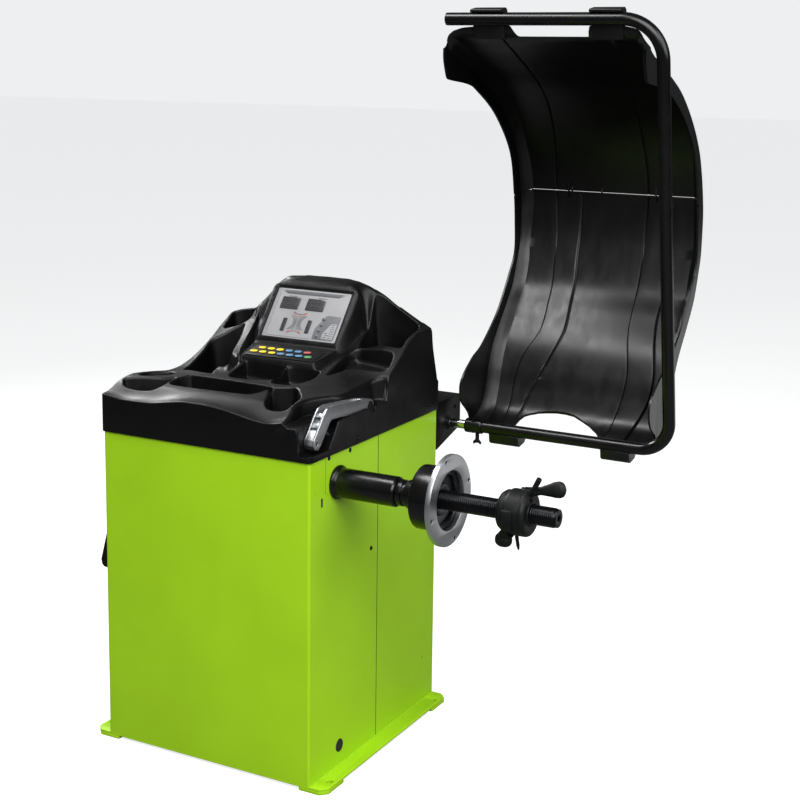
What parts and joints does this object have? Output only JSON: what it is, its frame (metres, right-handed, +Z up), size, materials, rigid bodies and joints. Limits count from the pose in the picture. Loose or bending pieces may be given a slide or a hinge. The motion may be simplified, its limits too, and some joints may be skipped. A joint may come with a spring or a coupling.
{
  "type": "wheel balancer",
  "caption": "Floor-standing workshop wheel balancer: cabinet, moulded tool tray with display and keypad, threaded spindle with quick nut, gauge arm and swinging wheel guard on a tube frame.",
  "frame": {"origin": "centre of the cabinet's footprint on the floor, on the underside of the base plate", "axes": "+X right along the spindle, +Y to the back, +Z up"},
  "size_m": [1.0267, 0.8681, 1.4869],
  "materials": {
    "green": "satin lime-green powder coat",
    "black_plastic": "fine moulded grain",
    "black_paint": "satin black paint",
    "steel": "turned and ground",
    "chrome": "bright plating",
    "aluminium": "satin",
    "overlay": "printed membrane",
    "window": "dark red tinted window",
    "key_yellow": "embossed membrane key",
    "key_blue": "embossed membrane key",
    "key_red": "embossed membrane key",
    "key_green": "embossed membrane key",
    "rubber": "dull",
    "board": "circuit board",
    "cast": "grey"
  },
  "bodies": {
    "cabinet": {"base_plate": "green", "cabinet_front_shell": "green", "cabinet_rear_shell": "green", "deck_plate": "black_paint", "spindle_frame": "black_paint", "motor_mount": "black_paint", "hood_bracket": "black_paint", "spindle_housing": "black_paint", "tool_hanger": "black_plastic", "mains_inlet": "black_plastic", "switch_frame": "black_plastic", "hood_switch": "black_plastic", "console_cover": "black_plastic", "spindle_cradle": "cast", "motor": "cast", "sensor_front": "steel", "sensor_rear": "steel", "bearing_inner": "steel", "bearing_outer": "steel", "drive_belt": "rubber", "encoder_board": "board", "power_board": "board", "computer_board": "board", "display_overlay": "overlay", "keypad_panel": "overlay", "window_left": "window", "window_right": "window", "led_bar_left": "window", "led_bar_right": "window"},
    "spindle": {"main_shaft": "steel", "wheel_hub": "black_paint", "wheel_flange": "steel", "shaft_pulley": "aluminium", "encoder_disc": "steel"},
    "motor_rotor": {"motor_pulley": "aluminium"},
    "nut_slider": {"nut_collar": "black_plastic"},
    "nut": {"nut_body": "black_plastic"},
    "hood": {"pivot_pin": "chrome", "hood_frame": "black_paint", "pivot_socket": "black_paint", "socket_screw": "steel", "hood_shell_upper": "black_plastic", "hood_shell_lower": "black_plastic"},
    "gauge_slider": {"gauge_carriage": "aluminium"},
    "gauge": {"gauge_rod": "chrome", "gauge_arm": "aluminium"},
    "rocker": {"power_rocker": "black_plastic"},
    "key_upper_1_body": {"key_upper_1": "key_yellow"},
    "key_upper_2_body": {"key_upper_2": "key_yellow"},
    "key_upper_3_body": {"key_upper_3": "key_yellow"},
    "key_upper_4_body": {"key_upper_4": "key_blue"},
    "key_upper_5_body": {"key_upper_5": "key_blue"},
    "key_upper_6_body": {"key_upper_6": "key_red"},
    "key_lower_1_body": {"key_lower_1": "key_yellow"},
    "key_lower_2_body": {"key_lower_2": "key_yellow"},
    "key_lower_3_body": {"key_lower_3": "key_yellow"},
    "key_lower_4_body": {"key_lower_4": "key_blue"},
    "key_lower_5_body": {"key_lower_5": "key_blue"},
    "key_lower_6_body": {"key_lower_6": "key_blue"},
    "key_lower_7_body": {"key_lower_7": "key_green"}
  },
  "joints": [
    {"name": "spindle_spin", "type": "hinge", "parent": "cabinet", "child": "spindle", "pos_m": [0.3, -0.156, 0.589], "axis": [1, 0, 0], "continuous": true},
    {"name": "motor_spin", "type": "hinge", "parent": "cabinet", "child": "motor_rotor", "pos_m": [-0.09, -0.15, 0.25], "axis": [1, 0, 0], "continuous": true},
    {"name": "nut_slide", "type": "slide", "parent": "spindle", "child": "nut_slider", "axis": [1, 0, 0], "range_m": [-0.08, 0.02]},
    {"name": "nut_turn", "type": "hinge", "parent": "nut_slider", "child": "nut", "pos_m": [0.61, -0.156, 0.589], "axis": [1, 0, 0], "continuous": true},
    {"name": "hood_swing", "type": "hinge", "parent": "cabinet", "child": "hood", "pos_m": [0.26, 0.318, 0.606], "axis": [1, 0, 0], "range_deg": [0, 80]},
    {"name": "gauge_slide", "type": "slide", "parent": "cabinet", "child": "gauge_slider", "axis": [1, 0, 0], "range_m": [0, 0.19]},
    {"name": "gauge_swing", "type": "hinge", "parent": "gauge_slider", "child": "gauge", "pos_m": [0.1, -0.03, 0.712], "axis": [-1, 0, 0], "range_deg": [0, 100]},
    {"name": "rocker_tilt", "type": "hinge", "parent": "cabinet", "child": "rocker", "pos_m": [-0.14, 0.255, 0.125], "axis": [1, 0, 0], "range_deg": [-8, 8]},
    {"name": "key_upper_1_press", "type": "slide", "parent": "cabinet", "child": "key_upper_1_body", "axis": [0, 0.193, -0.9812], "range_m": [0, 0.0006], "stiffness_N_per_m": 400},
    {"name": "key_upper_2_press", "type": "slide", "parent": "cabinet", "child": "key_upper_2_body", "axis": [0, 0.193, -0.9812], "range_m": [0, 0.0006], "stiffness_N_per_m": 400},
    {"name": "key_upper_3_press", "type": "slide", "parent": "cabinet", "child": "key_upper_3_body", "axis": [0, 0.193, -0.9812], "range_m": [0, 0.0006], "stiffness_N_per_m": 400},
    {"name": "key_upper_4_press", "type": "slide", "parent": "cabinet", "child": "key_upper_4_body", "axis": [0, 0.193, -0.9812], "range_m": [0, 0.0006], "stiffness_N_per_m": 400},
    {"name": "key_upper_5_press", "type": "slide", "parent": "cabinet", "child": "key_upper_5_body", "axis": [0, 0.193, -0.9812], "range_m": [0, 0.0006], "stiffness_N_per_m": 400},
    {"name": "key_upper_6_press", "type": "slide", "parent": "cabinet", "child": "key_upper_6_body", "axis": [0, 0.193, -0.9812], "range_m": [0, 0.0006], "stiffness_N_per_m": 400},
    {"name": "key_lower_1_press", "type": "slide", "parent": "cabinet", "child": "key_lower_1_body", "axis": [0, 0.193, -0.9812], "range_m": [0, 0.0006], "stiffness_N_per_m": 400},
    {"name": "key_lower_2_press", "type": "slide", "parent": "cabinet", "child": "key_lower_2_body", "axis": [0, 0.193, -0.9812], "range_m": [0, 0.0006], "stiffness_N_per_m": 400},
    {"name": "key_lower_3_press", "type": "slide", "parent": "cabinet", "child": "key_lower_3_body", "axis": [0, 0.193, -0.9812], "range_m": [0, 0.0006], "stiffness_N_per_m": 400},
    {"name": "key_lower_4_press", "type": "slide", "parent": "cabinet", "child": "key_lower_4_body", "axis": [0, 0.193, -0.9812], "range_m": [0, 0.0006], "stiffness_N_per_m": 400},
    {"name": "key_lower_5_press", "type": "slide", "parent": "cabinet", "child": "key_lower_5_body", "axis": [0, 0.193, -0.9812], "range_m": [0, 0.0006], "stiffness_N_per_m": 400},
    {"name": "key_lower_6_press", "type": "slide", "parent": "cabinet", "child": "key_lower_6_body", "axis": [0, 0.193, -0.9812], "range_m": [0, 0.0006], "stiffness_N_per_m": 400},
    {"name": "key_lower_7_press", "type": "slide", "parent": "cabinet", "child": "key_lower_7_body", "axis": [0, 0.193, -0.9812], "range_m": [0, 0.0006], "stiffness_N_per_m": 400}
  ],
  "couplings": [
    {"joint": "motor_spin", "follows": "spindle_spin", "ratio": 2.15}
  ]
}
